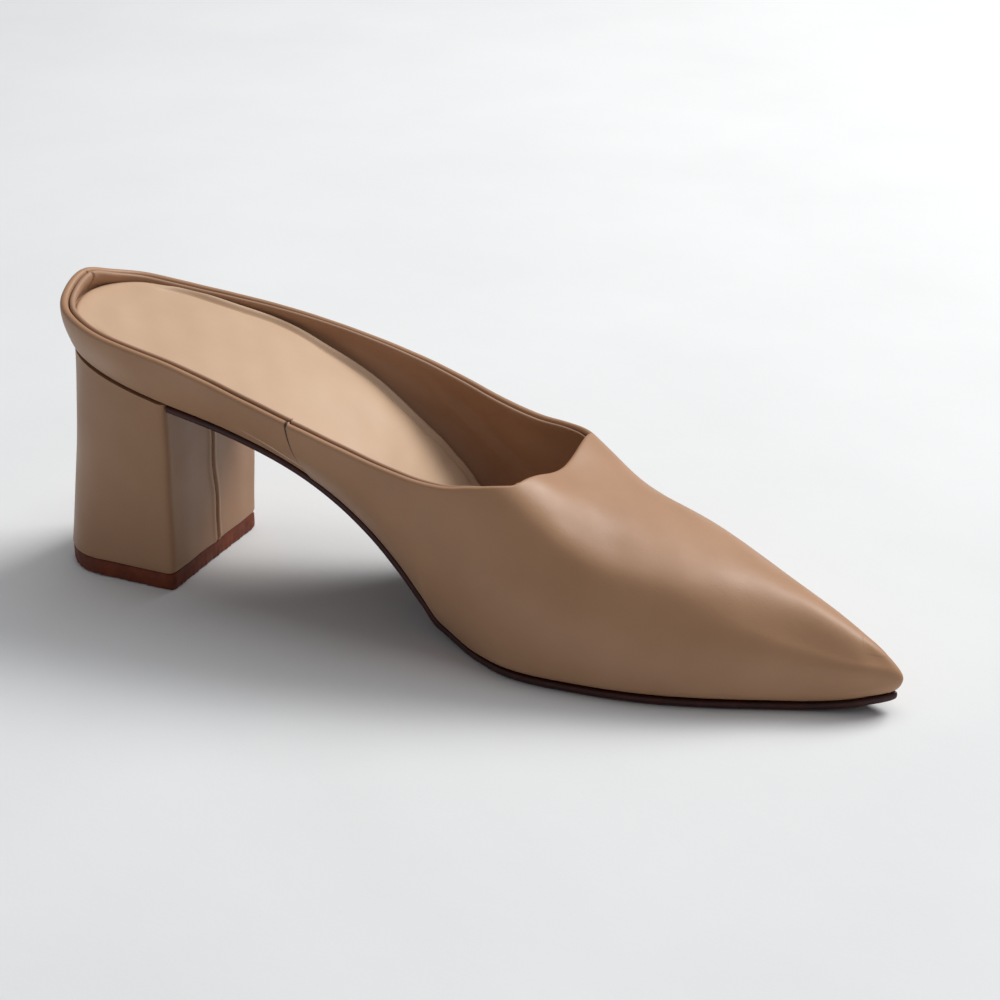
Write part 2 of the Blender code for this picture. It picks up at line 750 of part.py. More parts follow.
def centre_over_origin(pieces):
    """Moves the shoe so that the middle of its box stands over the origin."""
    bpy.context.view_layer.update()
    corners = [obj.matrix_world @ vert.co for obj in pieces for vert in obj.data.vertices]
    shift_x = -(min(c.x for c in corners) + max(c.x for c in corners)) / 2
    shift_y = -(min(c.y for c in corners) + max(c.y for c in corners)) / 2
    for obj in pieces:
        for vert in obj.data.vertices:
            vert.co.x += shift_x
            vert.co.y += shift_y


def main():
    clear_scene()
    collection = bpy.data.collections.new("block_heel_mule")
    bpy.context.scene.collection.children.link(collection)
    pieces = [build_upper(), build_insole(), build_outsole(), build_heel(), build_top_lift()]
    centre_over_origin(pieces)


main()
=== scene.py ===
"""Looks of the block heel mule: a left shoe in smooth nude-tan leather.

The shoe is worked out with x = 0 at the back of the heel and y = 0 on the
heel's axis, and is then moved to where the frame has it. Metres, +Z up, toe
towards +X, the wearer's outer side towards +Y.
"""

import math

import bpy
import numpy as np
from mathutils import Matrix, Vector


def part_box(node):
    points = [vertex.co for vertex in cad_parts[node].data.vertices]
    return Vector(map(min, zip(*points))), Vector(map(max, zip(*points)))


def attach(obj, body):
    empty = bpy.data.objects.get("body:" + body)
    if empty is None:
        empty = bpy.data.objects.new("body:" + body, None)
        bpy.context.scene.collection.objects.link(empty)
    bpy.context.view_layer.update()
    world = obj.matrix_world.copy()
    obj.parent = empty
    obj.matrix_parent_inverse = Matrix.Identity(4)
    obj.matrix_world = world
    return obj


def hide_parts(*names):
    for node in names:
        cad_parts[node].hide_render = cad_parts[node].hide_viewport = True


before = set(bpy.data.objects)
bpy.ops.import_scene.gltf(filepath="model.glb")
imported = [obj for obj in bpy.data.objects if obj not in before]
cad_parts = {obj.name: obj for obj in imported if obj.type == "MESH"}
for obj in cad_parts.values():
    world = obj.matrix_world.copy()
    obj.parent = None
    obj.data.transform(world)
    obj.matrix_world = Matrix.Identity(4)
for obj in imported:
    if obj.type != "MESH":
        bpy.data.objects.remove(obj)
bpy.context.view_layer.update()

# Sizes that a shoemaker would set
LENGTH = 0.250
BALL_WIDTH = 0.072
HEEL_HEIGHT = 0.065
SEAT_DROP = 0.0104
INSTEP_HEIGHT = 0.0495
TOE_SPRING = 0.004
BREAST_PLACE = 0.0425
BALL_SKEW = 0.12

UPPER_WALL = 0.0024
LASTING_MARGIN = 0.009
FEATHER_RADIUS = 0.0032

SOLE_THICKNESS = 0.0022
SOLE_INSET = 0.0013

INSOLE_HEEL_THICKNESS = 0.0074
INSOLE_BALL_THICKNESS = 0.0036
INSOLE_TOE_THICKNESS = 0.0014
PAD_THINS_FROM = 0.10
PAD_THINS_OVER = 0.45
PAD_TOE_FROM = 0.72
PAD_TOE_OVER = 0.20

HEEL_INSET = 0.0022
HEEL_TOP_SHIFT = -0.0018
HEEL_BASE_LENGTH = 0.0436
HEEL_BASE_WIDTH = 0.0495
HEEL_BASE_SHIFT = -0.0008
HEEL_BREAST_SLANT = 0.0008
HEEL_BACK_DEPTH = 0.46
HEEL_BACK_WIDTH = 0.955
HEEL_BACK_SQUARENESS = 0.86
HEEL_FLARE = 1.5
LIFT_THICKNESS = 0.005

GAP = 0.0003
SEAT_GAP = 0.0005

# Underside of the leather, from the heel breast to the ball.
# along: share of LENGTH; up: share of the height at the breast.
# Columns: along, up.
ARCH = (
    (0.170, 1.000),
    (0.220, 0.940),
    (0.272, 0.853),
    (0.320, 0.749),
    (0.366, 0.615),
    (0.404, 0.471),
    (0.436, 0.320),
    (0.464, 0.172),
    (0.488, 0.059),
    (0.536, 0.000),
)
TOE_SPRING_START = 0.885
SKEW_FADE_IN = 0.2
SKEW_END = 0.75
SKEW_FADE_OUT = 0.1

# One row for each section of the upper, from the back of the heel to the toe.
# foot: feather line, where wall and sole meet. edge: topline at the open part,
# shoulder of the vamp further on. along: share of LENGTH; out: share of
# BALL_WIDTH; up: share of INSTEP_HEIGHT above the foot; lean: degrees from
# upright, inwards positive.
# Columns: foot along, foot out, edge along, edge out, edge up, foot lean, edge lean.
LATERAL = (
    (0.002, 0.014, 0.005, 0.014, 0.317, -12, 12),
    (0.012, 0.170, 0.013, 0.160, 0.272, -12, 12),
    (0.040, 0.290, 0.038, 0.285, 0.246, -12, 12),
    (0.080, 0.355, 0.080, 0.347, 0.243, -14, 10),
    (0.168, 0.415, 0.168, 0.425, 0.258, -18, 8),
    (0.260, 0.407, 0.260, 0.454, 0.323, -26, 2),
    (0.352, 0.400, 0.352, 0.469, 0.479, -32, 3),
    (0.432, 0.410, 0.432, 0.453, 0.750, -30, 10),
    (0.508, 0.466, 0.508, 0.417, 0.930, -15, 18),
    (0.598, 0.467, 0.598, 0.392, 0.800, -10, 28),
    (0.660, 0.442, 0.660, 0.350, 0.607, -5, 36),
    (0.732, 0.364, 0.732, 0.272, 0.518, 0, 40),
    (0.800, 0.257, 0.800, 0.192, 0.425, 0, 42),
    (0.860, 0.125, 0.860, 0.090, 0.350, 0, 42),
    (0.912, 0.000, 0.912, -0.018, 0.290, 0, 42),
    (0.958, -0.122, 0.957, -0.124, 0.222, -2, 42),
    (0.984, -0.178, 0.979, -0.175, 0.168, -4, 42),
    (0.9992, -0.213, 0.992, -0.213, 0.125, -6, 42),
)
MEDIAL = (
    LATERAL[0],
    (0.014, -0.140, 0.012, -0.150, 0.289, -14, 10),
    (0.040, -0.250, 0.034, -0.282, 0.279, -20, 6),
    (0.080, -0.325, 0.080, -0.392, 0.295, -26, 2),
    (0.168, -0.367, 0.168, -0.450, 0.331, -34, -4),
    (0.260, -0.347, 0.260, -0.483, 0.350, -42, -14),
    (0.352, -0.330, 0.352, -0.517, 0.438, -44, -12),
    (0.432, -0.330, 0.432, -0.529, 0.653, -38, -5),
    (0.508, -0.380, 0.508, -0.519, 0.955, -32, 5),
    (0.592, -0.531, 0.592, -0.479, 0.922, -12, 24),
    (0.660, -0.554, 0.660, -0.486, 0.697, -8, 30),
    (0.732, -0.539, 0.732, -0.472, 0.556, -5, 35),
    (0.800, -0.489, 0.800, -0.427, 0.500, -3, 38),
    (0.860, -0.421, 0.860, -0.380, 0.395, 0, 40),
    (0.912, -0.358, 0.912, -0.333, 0.298, 0, 40),
    (0.958, -0.306, 0.957, -0.297, 0.218, -2, 42),
    (0.984, -0.262, 0.979, -0.254, 0.168, -4, 42),
    LATERAL[-1],
)

# Top line of the vamp, from the last open section to the toe.
# along: share of LENGTH; side: share of BALL_WIDTH; up: share of INSTEP_HEIGHT.
# Columns: section, along, side, up.
RIDGE = (
    (8, 0.536, -0.030, 1.080),
    (9, 0.610, -0.050, 0.990),
    (10, 0.664, -0.085, 0.888),
    (11, 0.734, -0.125, 0.786),
    (12, 0.802, -0.165, 0.690),
    (13, 0.862, -0.195, 0.590),
    (14, 0.913, -0.210, 0.502),
    (15, 0.955, -0.213, 0.398),
)

SECTIONS = len(LATERAL) - 1
THROAT = 9
LAST_RIDGE = 15
BREAST_SECTION = 4
SECTION_LENGTH = 0.09
FIRST_SPINE = 3
TOE_FAN_START = 13.5
DEEPEST_INSET = 0.62
WALL_GRIP = 0.36
THROAT_CORNER = 0.30
CORNER_START = 8.15


def steady_curve(xs, ys, x, first_slope=None):
    """Cubic through the rows that never rises or falls beyond them."""
    xs = np.asarray(xs, float)
    ys = np.asarray(ys, float)
    step = np.diff(xs)
    grade = np.diff(ys) / step
    slope = np.zeros(len(xs))
    for i in range(1, len(xs) - 1):
        if grade[i - 1] * grade[i] > 0:
            slope[i] = 2 / (1 / grade[i - 1] + 1 / grade[i])
    slope[0] = grade[0] if first_slope is None else first_slope
    i = int(np.clip(np.searchsorted(xs, x) - 1, 0, len(xs) - 2))
    t = (x - xs[i]) / step[i]
    rise = ys[i + 1] - ys[i]
    start = slope[i] * step[i]
    end = slope[i + 1] * step[i]
    return ys[i] + start * t + (3 * rise - 2 * start - end) * t * t + (start + end - 2 * rise) * t ** 3


class SmoothRows:
    """Cubic spline through table rows, closed into a loop or with free ends."""

    def __init__(self, knots, rows, closed):
        self.knots = np.asarray(knots, float)
        self.rows = np.asarray(rows, float)
        count = len(self.rows)
        step = np.diff(self.knots)
        matrix = np.zeros((count, count))
        right = np.zeros(self.rows.shape)
        for i in range(count):
            if not closed and i in (0, count - 1):
                matrix[i, i] = 1.0
                continue
            before = step[i - 1]
            after = step[i]
            here = self.rows[i]
            last = self.rows[i - 1]
            following = self.rows[(i + 1) % count]
            matrix[i, i - 1] += before
            matrix[i, i] += 2 * (before + after)
            matrix[i, (i + 1) % count] += after
            right[i] = 6 * ((following - here) / after - (here - last) / before)
        self.bend = np.linalg.solve(matrix, right)

    def at(self, knot):
        i = int(np.clip(np.searchsorted(self.knots, knot) - 1, 0, len(self.knots) - 2))
        j = (i + 1) % len(self.rows)
        step = self.knots[i + 1] - self.knots[i]
        b = (knot - self.knots[i]) / step
        a = 1 - b
        curve = (a ** 3 - a) * self.bend[i] + (b ** 3 - b) * self.bend[j]
        return a * self.rows[i] + b * self.rows[j] + curve * step * step / 6


def arch_height(x):
    """Height of the leather's underside above its height at the ball."""
    breast_height = HEEL_HEIGHT - SEAT_DROP
    if x <= BREAST_PLACE:
        return HEEL_HEIGHT - SEAT_DROP * x / BREAST_PLACE
    alongs = [row[0] * LENGTH for row in ARCH]
    alongs[0] = BREAST_PLACE
    ups = [row[1] * breast_height for row in ARCH]
    if x < alongs[-1]:
        return steady_curve(alongs, ups, x, first_slope=-SEAT_DROP / BREAST_PLACE)
    start = TOE_SPRING_START * LENGTH
    spring = max(0.0, (x - start) / (LENGTH - start))
    return TOE_SPRING * spring ** 2


def bed(x, y):
    """Underside of the leather. The ball line runs askew, so the arch ends
    earlier on the lateral side."""
    fade = np.clip((x - BREAST_PLACE) / (SKEW_FADE_IN * LENGTH), 0.0, 1.0)
    fade = fade * fade * (3 - 2 * fade)
    toe_fade = np.clip((SKEW_END * LENGTH - x) / (SKEW_FADE_OUT * LENGTH), 0.0, 1.0)
    skewed = x + BALL_SKEW * fade * toe_fade * y
    return SOLE_THICKNESS + GAP + arch_height(skewed)


def scaled_sections(table):
    """Section rows in metres and radians, with the edge's height off the floor."""
    share = (LENGTH, BALL_WIDTH, LENGTH, BALL_WIDTH, INSTEP_HEIGHT, math.pi / 180, math.pi / 180)
    rows = [np.array(row) * share for row in table]
    for row in rows:
        row[4] += bed(row[0], row[1])
    return rows


def section_loop():
    """All sections in one loop: heel back, lateral side, toe, medial side."""
    lateral = scaled_sections(LATERAL)
    medial = scaled_sections(MEDIAL)
    rows = lateral + medial[-2:0:-1]
    corners = rows + rows[:1]
    walk = [float(np.hypot(*(b[:2] - a[:2]))) for a, b in zip(corners, corners[1:])]
    knots = np.concatenate([[0.0], np.cumsum(walk)])
    return SmoothRows(knots, rows, closed=True)


LOOP = section_loop()
RIDGE_LINE = SmoothRows(
    [row[0] for row in RIDGE],
    [(row[1] * LENGTH, row[2] * BALL_WIDTH, row[3] * INSTEP_HEIGHT) for row in RIDGE],
    closed=False,
)


def knot_of(side, section):
    """Place on the loop of a section counted from the heel back, on one side."""
    place = section if side > 0 else 2 * SECTIONS - section
    return float(np.interp(place, range(2 * SECTIONS + 1), LOOP.knots))


def section_values(side, section):
    return LOOP.at(knot_of(side, section))


def foot_line(side, section):
    values = section_values(side, section)
    return np.array([values[0], values[1], 0.0])


def spine_point(section):
    """Middle line of the flat pieces; the heel and toe sections share an end."""
    section = min(max(section, FIRST_SPINE), LAST_RIDGE)
    return (foot_line(1, section) + foot_line(-1, section)) / 2


def outward(side, section):
    """Plan direction out of the shoe: square to the feather line, and towards
    the toe away from the end of the spine."""
    reach = 0.0004
    knot = knot_of(side, section)
    whole = LOOP.knots[-1]
    tangent = LOOP.at((knot + reach) % whole)[:2] - LOOP.at((knot - reach) % whole)[:2]
    square = np.array([-tangent[1], tangent[0], 0.0]) / np.hypot(*tangent)
    from_spine = foot_line(side, section) - spine_point(section)
    turn = np.clip((section - TOE_FAN_START) / (LAST_RIDGE - TOE_FAN_START), 0.0, 1.0)
    direction = from_spine / np.linalg.norm(from_spine) * turn + square * (1 - turn)
    return direction / np.linalg.norm(direction)


def foot_point(side, section, inset, gap=0.0):
    """Plan point of the feather line, moved inwards: by the inset, or by a
    share of the way to the spine where the shoe is too narrow for it."""
    foot = foot_line(side, section)
    room = DEEPEST_INSET * np.linalg.norm(spine_point(section) - foot)
    return foot - outward(side, section) * (min(inset, room) + gap)


def above_bed(x, y, distance):
    """Height of a layer that lies a distance off the bed, square to it."""
    reach = 0.0005
    grade_x = (bed(x + reach, y) - bed(x - reach, y)) / (2 * reach)
    grade_y = (bed(x, y + reach) - bed(x, y - reach)) / (2 * reach)
    return bed(x, y) + distance * math.sqrt(1 + grade_x ** 2 + grade_y ** 2)


def bezier(a, b, c, d, t):
    s = 1 - t
    return s ** 3 * a + 3 * s * s * t * b + 3 * s * t * t * c + t ** 3 * d


def leaning(direction, angle):
    """Upward direction that leans inwards by the angle."""
    return np.array([0.0, 0.0, math.cos(angle)]) - direction * math.sin(angle)


def ridge_point(section):
    return RIDGE_LINE.at(min(section, LAST_RIDGE))


def ridge_direction(side, section):
    """Direction in which the vamp leaves its top line."""
    turn = np.clip((section - LAST_RIDGE) / (SECTIONS - LAST_RIDGE), 0.0, 1.0) * math.pi / 2
    step = ridge_point(LAST_RIDGE) - ridge_point(LAST_RIDGE - 0.1)
    fall = step[2] / step[0]
    return np.array([math.sin(turn), side * math.cos(turn), fall * math.sin(turn)])


def wall_point(side, section, v):
    """Outer face of the upper: v from -1 at the edge under the insole to 0 at
    the foot of the wall, 1 at the topline or shoulder and 2 on the top line."""
    foot_x, foot_y, edge_x, edge_y, edge_z, foot_lean, edge_lean = section_values(side, section)
    out = outward(side, section)
    floor = bed(foot_x, foot_y)
    turn = math.pi / 2 + foot_lean
    foot = np.array([foot_x, foot_y, floor + FEATHER_RADIUS * (1 - math.cos(turn))])
    rise = leaning(out, foot_lean)
    if v <= 0:
        corner = foot_point(side, section, FEATHER_RADIUS * math.sin(turn))
        if v <= -0.5:
            inner = foot_point(side, section, LASTING_MARGIN)
            flat = inner + (corner - inner) * 2 * (v + 1)
            return np.array([flat[0], flat[1], bed(flat[0], flat[1])])
        corner[2] = bed(corner[0], corner[1])
        grip = 4 / 3 * math.tan(turn / 4) * FEATHER_RADIUS
        level = np.array([foot[0] - corner[0], foot[1] - corner[1], 0.0])
        level = level / np.linalg.norm(level)
        return bezier(corner, corner + level * grip, foot - rise * grip, foot, 2 * v + 1)
    edge = np.array([edge_x, edge_y, edge_z])
    lean = leaning(out, edge_lean)
    if v <= 1:
        grip = WALL_GRIP * np.linalg.norm(edge - foot)
        return bezier(foot, foot + rise * grip, edge - lean * grip, edge, v)
    ridge = ridge_point(section)
    grip = WALL_GRIP * np.linalg.norm(ridge - edge)
    return bezier(edge, edge + lean * grip, ridge + ridge_direction(side, section) * grip, ridge, v - 1)


# Rolled edges along the topline: the leather's, and the lining's inside it
ROLL_BACK = 0.00125
ROLL_SIDE = 0.00100
ROLL_FRONT = 0.00085
LINING_ROLL_BACK = 0.00085
LINING_ROLL_SIDE = 0.00060
LINING_ROLL_FRONT = 0.00030
GROOVE_DEPTH = 0.0011
LINING_THICKNESS = 0.0026
LINING_SPACE = 0.0002
THROAT_SECTION_LENGTH = 0.072
THROAT_EDGE = THROAT + ROLL_FRONT / (THROAT_SECTION_LENGTH * LENGTH)

# Seam between the vamp and the back strip, on the medial side
SEAM_X = 0.0862
SEAM_SECTION = 5.92
SEAM_STEP = 0.00032
SEAM_SLANT = 0.03
SEAM_SLANT_FROM = 0.055
SEAM_DARK = (0.060, 0.026, 0.014)

# Sock: crown in its middle, and how far its skin reaches down
SOCK_CROWN = 0.0009
SOCK_THICKNESS = 0.0035

# Rounded corners of the heel and lift at the breast
CORNER_RADIUS = 0.0026
CORNER_STEPS = 7

# Edge of the sole from below to above: inset, share of the thickness
SOLE_ROUND = 0.0006
SOLE_RELIEF = 0.0002
SOLE_EDGE = (
    (SOLE_ROUND, 0.0),
    (0.00022, 0.10),
    (0.00005, 0.28),
    (0.0, 0.5),
    (0.00005, 0.72),
    (0.00022, 0.9),
    (SOLE_ROUND, 1.0),
)

# Side of the lift from below to above: height, inset, share of the rough cut
LIFT_EDGE = (
    (0.0, 0.0011, 1.0),
    (0.0003, 0.0006, 1.0),
    (0.0010, 0.0004, 0.7),
    (0.0028, 0.0003, 0.3),
    (0.0045, 0.0003, 0.2),
    (LIFT_THICKNESS, 0.0006, 0.0),
)

# Grid rows of the outer face, and the column of the vamp from which the
# tip of the toe is left without dents
LOW_ROWS = 34
HIGH_ROWS = 22
LAST_TOE_COLUMN = 118

# Photograph's camera, from the back of the heel, and where it looks
CAMERA_PLACE = (0.3816, -0.5643, 0.306)
CAMERA_AIM = (0.0075, 0.002, 0.0335)
CAMERA_LENS = 89.0
CAMERA_ROLL = -0.68

# Lamps: name, place, aim, size, watts, colour
LIGHTS = (
    ("window", (0.75, 1.15, 1.45), (0.02, 0.0, 0.03), (1.1, 0.9), 34.0, (1.0, 0.985, 0.965)),
    ("sky", (0.1, 0.35, 1.9), (0.0, 0.0, 0.0), (1.5, 1.5), 11.0, (0.96, 0.98, 1.0)),
)

# Soft dents and ridges of the leather: from and to as (side, section, v),
# width in metres, height in metres (negative is a trough).
CREASES = (
    ((-1, 9.35, 1.25), (-1, 10.6, 1.35), 0.0065, -0.00045),
    ((-1, 9.9, 1.00), (-1, 11.6, 1.15), 0.0060, 0.00035),
    ((-1, 9.2, 1.75), (1, 9.5, 1.60), 0.0070, -0.00050),
    ((-1, 10.8, 0.75), (-1, 12.6, 0.85), 0.0070, -0.00030),
    ((-1, 8.3, 0.70), (-1, 9.6, 0.80), 0.0080, -0.00040),
    ((-1, 7.2, 0.55), (-1, 8.4, 0.65), 0.0060, 0.00025),
    ((1, 9.3, 1.10), (1, 10.6, 1.20), 0.0070, -0.00045),
    ((1, 10.2, 0.90), (1, 11.8, 1.00), 0.0070, 0.00030),
    ((1, 8.4, 0.75), (1, 9.4, 0.85), 0.0080, -0.00035),
)

# Creases of the lining inside the lateral and medial walls
LINING_CREASES = (
    ((1, 6.2, 0.85), (1, 7.6, 0.55), 0.0022, -0.00050),
    ((1, 7.0, 0.80), (1, 8.2, 0.45), 0.0020, 0.00045),
    ((1, 5.2, 0.70), (1, 6.6, 0.60), 0.0025, -0.00035),
    ((1, 8.0, 0.75), (1, 9.2, 0.50), 0.0030, -0.00040),
    ((-1, 6.6, 0.70), (-1, 7.9, 0.50), 0.0025, -0.00040),
    ((-1, 7.6, 0.75), (-1, 8.8, 0.50), 0.0025, 0.00035),
)


def frame_shift():
    sole_low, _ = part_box("outsole")
    lift_low, lift_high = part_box("top_lift")
    middle = (lift_low[1] + lift_high[1]) / 2
    return np.array([sole_low[0] - (BREAST_PLACE + GAP), middle - HEEL_BASE_SHIFT, 0.0])


SHIFT = frame_shift()


def smooth_step(value, start, end):
    share = np.clip((value - start) / (end - start), 0.0, 1.0)
    return share * share * (3 - 2 * share)


def unit(vectors):
    size = np.linalg.norm(vectors, axis=-1, keepdims=True)
    return vectors / np.maximum(size, 1e-12)


def wall_column(side, section, vs):
    """Points of one section of the outer face."""
    return np.array([wall_point(side, section, v) for v in vs])


def distance_to_line(points, start, end):
    along = end - start
    share = np.clip(((points - start) @ along) / (along @ along), 0.0, 1.0)
    return np.linalg.norm(points - start - share[..., None] * along, axis=-1)


def crease_height(points, creases):
    """Height of the soft troughs and ridges at each point."""
    height = np.zeros(points.shape[:-1])
    for start, end, width, rise in creases:
        away = distance_to_line(points, wall_point(*start), wall_point(*end))
        height += rise * np.exp(-((away / width) ** 2))
    return height


def unevenness(points, size):
    """Slow waves that keep a surface from looking machined."""
    x, y, z = np.moveaxis(points, -1, 0)
    wave = np.sin(x * 173 + 1.3 * np.sin(y * 141) + z * 97)
    wave += 0.7 * np.sin(y * 229 - x * 71 + 2.0 + z * 187)
    wave += 0.5 * np.sin(x * 397 + y * 353 - z * 311 + 0.7)
    return size * wave


def seam_height(points, side_sign):
    """The vamp laps over the back strip at the medial seam."""
    away = points[..., 0] - SEAM_X - SEAM_SLANT * (points[..., 2] - SEAM_SLANT_FROM)
    step = SEAM_STEP * smooth_step(away, -0.00005, 0.00030) * np.exp(-np.clip(away, 0, 1) / 0.012)
    groove = -0.00030 * np.exp(-((away / 0.00022) ** 2))
    return np.where(side_sign < 0, step + groove, 0.0)


def dense_sections():
    open_part = np.linspace(0, CORNER_START, 190)
    near_seam = SEAM_SECTION + np.arange(-0.07, 0.0701, 0.005)
    open_part = np.unique(np.concatenate([open_part, near_seam]))
    turn = np.sin(np.linspace(0, math.pi / 2, 26))[1:]
    corner = CORNER_START + (THROAT_EDGE - CORNER_START) * turn
    closed_part = np.linspace(THROAT_EDGE, SECTIONS, 150)[1:]
    return np.concatenate([open_part, corner]), closed_part


OPEN_SECTIONS, CLOSED_SECTIONS = dense_sections()


def corner_rise(section):
    turn = np.clip((section - CORNER_START) / (THROAT_EDGE - CORNER_START), 0.0, 1.0)
    return THROAT_CORNER * (1 - math.sqrt(1 - turn * turn))


def roll_sizes(section):
    """Radii of the leather's and the lining's rolled edges."""
    back = float(np.exp(-((section / 2.6) ** 2)))
    front = float(smooth_step(section, 7.8, THROAT_EDGE))
    leather = ROLL_SIDE + (ROLL_BACK - ROLL_SIDE) * back + (ROLL_FRONT - ROLL_SIDE) * front
    lining = LINING_ROLL_SIDE + (LINING_ROLL_BACK - LINING_ROLL_SIDE) * back
    lining += (LINING_ROLL_FRONT - LINING_ROLL_SIDE) * front
    return leather, lining


def top_of_wall(section):
    """v where the outer face ends and the rolled edge begins."""
    if section >= THROAT_EDGE:
        return 1 + THROAT_CORNER
    values = section_values(1, section)
    reach = math.hypot(values[4] - bed(values[0], values[1]), 0.006)
    level = roll_sizes(section)[0] / reach * (1 - float(smooth_step(section, 8.6, THROAT_EDGE)))
    return 1 + corner_rise(section) - level


MARGIN_VS = [-0.95, -0.75, -0.55, -0.5, -0.44, -0.38, -0.32, -0.26, -0.2, -0.14, -0.07, 0.0]


def skin_grids():
    """Outer face as two grids: round the whole shoe up to the topline, and
    over the vamp from one shoulder to the other."""
    around = [(1, s) for s in np.concatenate([OPEN_SECTIONS, CLOSED_SECTIONS])]
    around += [(-1, s) for _, s in around[-2:0:-1]]
    low = []
    for side, section in around:
        top = top_of_wall(section)
        vs = MARGIN_VS + [top * i / LOW_ROWS for i in range(1, LOW_ROWS + 1)]
        low.append(wall_column(side, section, vs))
    start = 1 + THROAT_CORNER
    rise = [start + (2 - start) * i / HIGH_ROWS for i in range(HIGH_ROWS + 1)]
    high = []
    for section in [THROAT_EDGE, *CLOSED_SECTIONS]:
        lateral = wall_column(1, section, rise)
        medial = wall_column(-1, section, rise)
        high.append(np.concatenate([lateral, medial[-2::-1]]))
    return around, np.array(low), np.array(high)


def normals_of(grid, closed):
    """Unit vectors square to a grid's surface."""
    if closed:
        along = np.roll(grid, -1, axis=0) - np.roll(grid, 1, axis=0)
    else:
        along = np.gradient(grid, axis=0)
    across = np.gradient(grid, axis=1)
    return unit(np.cross(along, across))


class Surface:
    """Gathers grids of points into one mesh."""

    def __init__(self):
        self.verts = []
        self.faces = []

    def grid(self, points, closed=False, flip=False):
        count, rows = points.shape[:2]
        first = len(self.verts)
        self.verts += [tuple(place) for place in points.reshape(-1, 3) + SHIFT]
        for i in range(count if closed else count - 1):
            j = (i + 1) % count
            for k in range(rows - 1):
                face = [first + i * rows + k, first + j * rows + k]
                face += [first + j * rows + k + 1, first + i * rows + k + 1]
                self.faces.append(face[::-1] if flip else face)

    def finish(self, name, material, sharp_angle=60.0, weld=0.00001):
        mesh = bpy.data.meshes.new(name)
        mesh.from_pydata(self.verts, [], self.faces)
        obj = bpy.data.objects.new(name, mesh)
        bpy.context.scene.collection.objects.link(obj)
        bpy.context.view_layer.objects.active = obj
        join = obj.modifiers.new("join", "WELD")
        join.merge_threshold = weld
        data = bpy.data.meshes.new_from_object(obj.evaluated_get(bpy.context.evaluated_depsgraph_get()))
        obj.modifiers.clear()
        obj.data = data
        data.validate()
        data.shade_smooth()
        data.set_sharp_from_angle(angle=math.radians(sharp_angle))
        data.materials.clear()
        data.materials.append(material)
        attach(obj, "root")
        return obj


# Materials

def new_material(name):
    material = bpy.data.materials.new(name)
    material.use_nodes = True
    tree = material.node_tree
    return material, tree, tree.nodes["Principled BSDF"]


def add_node(tree, kind, **values):
    node = tree.nodes.new(kind)
    for key, value in values.items():
        if key in node.inputs:
            node.inputs[key].default_value = value
        else:
            setattr(node, key, value)
    return node


def position(tree):
    return add_node(tree, "ShaderNodeTexCoord").outputs["Object"]


def noise(tree, scale, detail=4.0, roughness=0.5):
    node = add_node(tree, "ShaderNodeTexNoise", Scale=scale, Detail=detail, Roughness=roughness)
    tree.links.new(position(tree), node.inputs["Vector"])
    return node.outputs["Fac"]


def mapped(tree, value, low, high, to_low=0.0, to_high=1.0):
    node = add_node(tree, "ShaderNodeMapRange")
    node.inputs["From Min"].default_value = low
    node.inputs["From Max"].default_value = high
    node.inputs["To Min"].default_value = to_low
    node.inputs["To Max"].default_value = to_high
    tree.links.new(value, node.inputs["Value"])
    return node.outputs["Result"]


def mixed(tree, share, first, second):
    node = add_node(tree, "ShaderNodeMix", data_type="RGBA")
    if isinstance(share, float):
        node.inputs[0].default_value = share
    else:
        tree.links.new(share, node.inputs[0])
    for socket, colour in ((node.inputs[6], first), (node.inputs[7], second)):
        if isinstance(colour, tuple):
            socket.default_value = (*colour, 1.0)
        else:
            tree.links.new(colour, socket)
    return node.outputs[2]


def bumped(tree, shader, layers):
    """Bump made of layers: (height, strength, distance)."""
    last = None
    for height, strength, distance in layers:
        node = add_node(tree, "ShaderNodeBump")
        node.inputs["Strength"].default_value = strength
        node.inputs["Distance"].default_value = distance
        tree.links.new(height, node.inputs["Height"])
        if last is not None:
            tree.links.new(last, node.inputs["Normal"])
        last = node.outputs["Normal"]
    tree.links.new(last, shader.inputs["Normal"])


def seam_line(tree):
    """Share of dark at the medial seam: one along its line, none elsewhere."""
    parts = add_node(tree, "ShaderNodeSeparateXYZ")
    tree.links.new(position(tree), parts.inputs[0])
    slant = add_node(tree, "ShaderNodeMath", operation="MULTIPLY_ADD")
    tree.links.new(parts.outputs["Z"], slant.inputs[0])
    slant.inputs[1].default_value = -SEAM_SLANT
    tree.links.new(parts.outputs["X"], slant.inputs[2])
    away = add_node(tree, "ShaderNodeMath", operation="SUBTRACT")
    tree.links.new(slant.outputs[0], away.inputs[0])
    away.inputs[1].default_value = SEAM_X + SHIFT[0] - SEAM_SLANT * SEAM_SLANT_FROM
    size = add_node(tree, "ShaderNodeMath", operation="ABSOLUTE")
    tree.links.new(away.outputs[0], size.inputs[0])
    line = mapped(tree, size.outputs[0], 0.00020, 0.00055, 1.0, 0.0)
    medial = mapped(tree, parts.outputs["Y"], -0.012, -0.010, 1.0, 0.0)
    both = add_node(tree, "ShaderNodeMath", operation="MULTIPLY")
    tree.links.new(line, both.inputs[0])
    tree.links.new(medial, both.inputs[1])
    return both.outputs[0]


